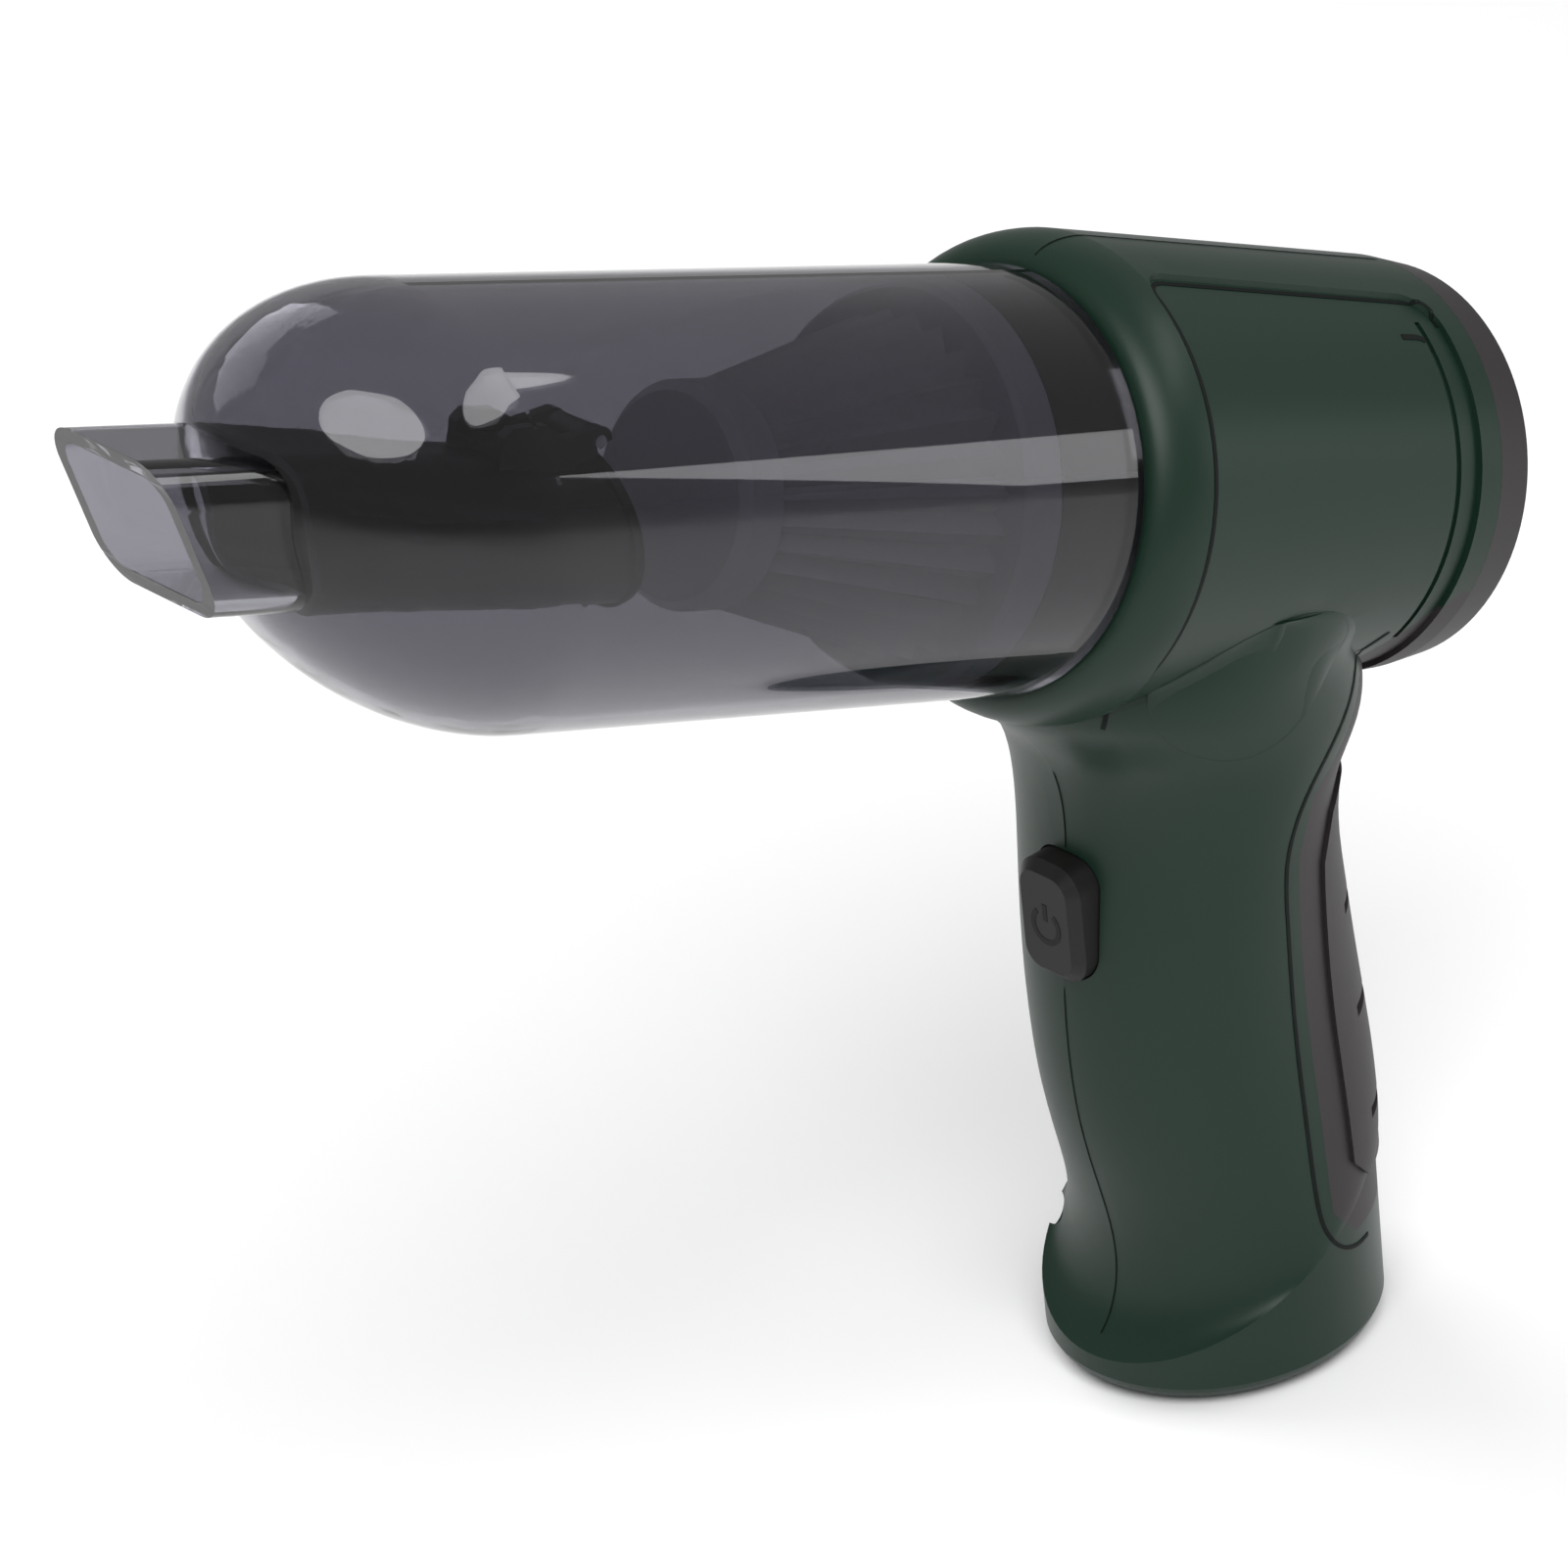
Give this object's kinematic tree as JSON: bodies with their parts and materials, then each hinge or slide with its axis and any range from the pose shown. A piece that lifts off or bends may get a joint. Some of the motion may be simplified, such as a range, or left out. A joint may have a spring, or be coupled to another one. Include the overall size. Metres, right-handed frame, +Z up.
{
  "type": "handheld vacuum cleaner",
  "caption": "Cordless pistol-grip handheld vacuum cleaner with a clear domed dust cup, angled nozzle, flapped inlet, pleated filter and a flared handle with a power button.",
  "frame": {"origin": "centre of the flat face under the handle's foot", "axes": "+Z up with the cleaner standing on its foot, -X the way the nozzle points, +Y the cleaner's right side"},
  "size_m": [0.2491, 0.0764, 0.2434],
  "materials": {
    "housing_green": "satin moulded plastic, dark green",
    "cover_charcoal": "fine matte moulded plastic, charcoal",
    "grip_charcoal": "soft matte overmoulding, charcoal",
    "cup_smoke": "clear smoke-grey polished plastic",
    "duct_black": "semi-matte black moulded plastic",
    "filter_grey": "light grey moulded plastic",
    "filter_media": "pleated filter paper",
    "seal_rubber": "soft black rubber",
    "steel": "plain steel",
    "motor_steel": "zinc-plated steel sheet",
    "copper": "enamelled copper",
    "ferrite": "dark grey ferrite",
    "cell_wrap": "steel cells in a shrunk blue-green sleeve",
    "board_green": "green lacquered board",
    "foam": "open dark foam"
  },
  "bodies": {
    "housing": {"housing_left_shell": "housing_green", "housing_right_shell": "housing_green", "grip_pad": "grip_charcoal", "rear_cover": "cover_charcoal", "exhaust_foam": "foam", "cup_spigot_ring": "duct_black", "cup_seal_ring": "seal_rubber", "fan_shroud": "duct_black", "motor_mount": "duct_black", "motor_can": "motor_steel", "motor_end_cap": "duct_black", "motor_magnets": "ferrite", "brushes": "ferrite", "front_bearing": "steel", "rear_bearing": "steel", "battery_cells": "cell_wrap", "battery_holder": "duct_black", "control_board": "board_green", "power_switch": "duct_black", "charge_socket": "duct_black", "shell_screws": "steel"},
    "dust_cup": {"dust_cup": "cup_smoke", "suction_duct": "duct_black", "flap_clip": "duct_black", "flap_pin": "steel"},
    "inlet_flap": {"inlet_flap": "duct_black"},
    "filter": {"filter_frame": "filter_grey", "filter_pleats": "filter_media", "filter_end_cap": "filter_grey"},
    "power_button": {"power_button": "cover_charcoal"},
    "rotor": {"impeller": "duct_black", "motor_shaft": "steel", "armature": "motor_steel", "windings": "copper", "commutator": "copper"}
  },
  "joints": [
    {"name": "cup_pull", "type": "slide", "parent": "housing", "child": "dust_cup", "axis": [-0.9397, 0, 0.342], "range_m": [0, 0.08]},
    {"name": "flap_swing", "type": "hinge", "parent": "dust_cup", "child": "inlet_flap", "pos_m": [-0.10927, 0, 0.20798], "axis": [0, -1, 0], "range_deg": [0, 22]},
    {"name": "filter_pull", "type": "slide", "parent": "housing", "child": "filter", "axis": [-0.9397, 0, 0.342], "range_m": [0, 0.006]},
    {"name": "power_press", "type": "slide", "parent": "housing", "child": "power_button", "axis": [1, 0, 0], "range_m": [0, 0.0015], "stiffness_N_per_m": 600},
    {"name": "rotor_spin", "type": "hinge", "parent": "housing", "child": "rotor", "pos_m": [0.00589, 0, 0.15482], "axis": [0.9397, 0, -0.342], "continuous": true}
  ]
}
